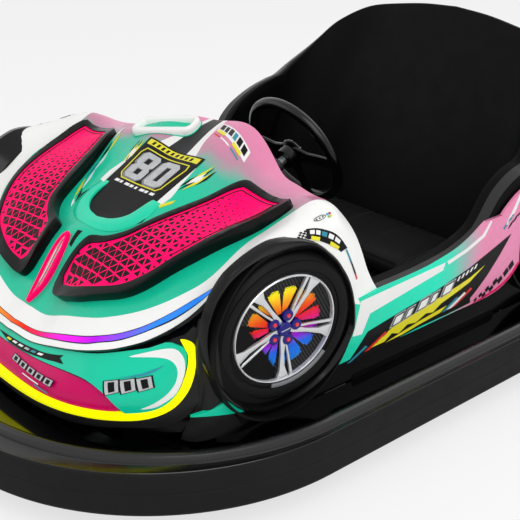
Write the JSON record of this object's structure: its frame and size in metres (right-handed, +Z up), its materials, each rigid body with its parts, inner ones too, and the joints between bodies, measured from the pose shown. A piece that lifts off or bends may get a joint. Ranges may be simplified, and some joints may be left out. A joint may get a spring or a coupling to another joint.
{
  "type": "bumper car",
  "caption": "Battery bumper car with an oval rubber bumper, a moulded body with dummy wheels in its flanks, a bench tub, and a steering wheel that turns the drive wheel.",
  "frame": {"origin": "on the floor, under the middle of the bumper ring", "axes": "+Z up, the nose towards -Y, the car's own left towards +X"},
  "size_m": [1.15, 1.95, 0.832],
  "materials": {
    "bumper_rubber": "matte",
    "deck_gloss": "glossy",
    "shell_teal": "glossy",
    "shell_white": "glossy",
    "shell_pink": "glossy",
    "light_strip": "satin",
    "yellow_light": "satin",
    "lamp_pink": "satin",
    "red_lamp": "glossy",
    "trim_black": "glossy",
    "tub_black": "satin",
    "moulded_black": "satin",
    "rim_silver": "satin",
    "cushion": "soft",
    "frame_steel": "satin",
    "sheet_steel": "satin",
    "axle_steel": "turned",
    "battery_case": "plain",
    "drive_iron": "plain",
    "hub_grey": "satin",
    "tyre_rubber": "matte"
  },
  "bodies": {
    "chassis": {"arch_liners": "trim_black", "battery_box": "battery_case", "belt_clip": "moulded_black", "bonnet": "shell_teal", "bonnet_tray": "shell_white", "bumper_deck": "deck_gloss", "bumper_hoop": "frame_steel", "bumper_ring": "bumper_rubber", "chassis_frame": "frame_steel", "chin_light": "yellow_light", "dash_panel": "moulded_black", "drive_bridge": "frame_steel", "drive_pedal": "moulded_black", "flank_rims": "rim_silver", "flank_tyres": "trim_black", "floor_pan": "sheet_steel", "front_fender_left": "shell_white", "front_fender_right": "shell_white", "lamp_frames": "trim_black", "lamp_glasses": "lamp_pink", "light_band": "light_strip", "nose_fascia": "shell_teal", "nose_lamp": "lamp_pink", "rear_axle": "axle_steel", "rear_body": "shell_pink", "seat_base": "tub_black", "seat_cushion": "cushion", "seat_tub": "tub_black", "sill_left": "shell_teal", "sill_right": "shell_teal", "steering_column": "moulded_black", "steering_gear": "moulded_black", "tail_lamps": "red_lamp"},
    "drive_unit": {"drive_fork": "drive_iron", "drive_motor": "drive_iron"},
    "drive_wheel": {"drive_tyre": "tyre_rubber", "drive_hub": "hub_grey"},
    "steering": {"steering_wheel": "moulded_black", "steering_shaft": "axle_steel"},
    "rear_wheel_left": {"rear_left_tyre": "tyre_rubber", "rear_left_hub": "hub_grey"},
    "rear_wheel_right": {"rear_right_tyre": "tyre_rubber", "rear_right_hub": "hub_grey"}
  },
  "joints": [
    {"name": "drive_steer", "type": "hinge", "parent": "chassis", "child": "drive_unit", "pos_m": [0, -0.52, 0], "axis": [0, 0, 1], "continuous": true},
    {"name": "drive_roll", "type": "hinge", "parent": "drive_unit", "child": "drive_wheel", "pos_m": [0, -0.52, 0.1], "axis": [1, 0, 0], "continuous": true},
    {"name": "steering_turn", "type": "hinge", "parent": "chassis", "child": "steering", "pos_m": [0, 0.022, 0.547], "axis": [0, 0.9135, 0.4067], "continuous": true},
    {"name": "rear_left_roll", "type": "hinge", "parent": "chassis", "child": "rear_wheel_left", "pos_m": [0.372, 0.59, 0.08], "axis": [1, 0, 0], "continuous": true},
    {"name": "rear_right_roll", "type": "hinge", "parent": "chassis", "child": "rear_wheel_right", "pos_m": [-0.372, 0.59, 0.08], "axis": [1, 0, 0], "continuous": true}
  ],
  "couplings": [
    {"joint": "steering_turn", "follows": "drive_steer", "ratio": 1}
  ]
}
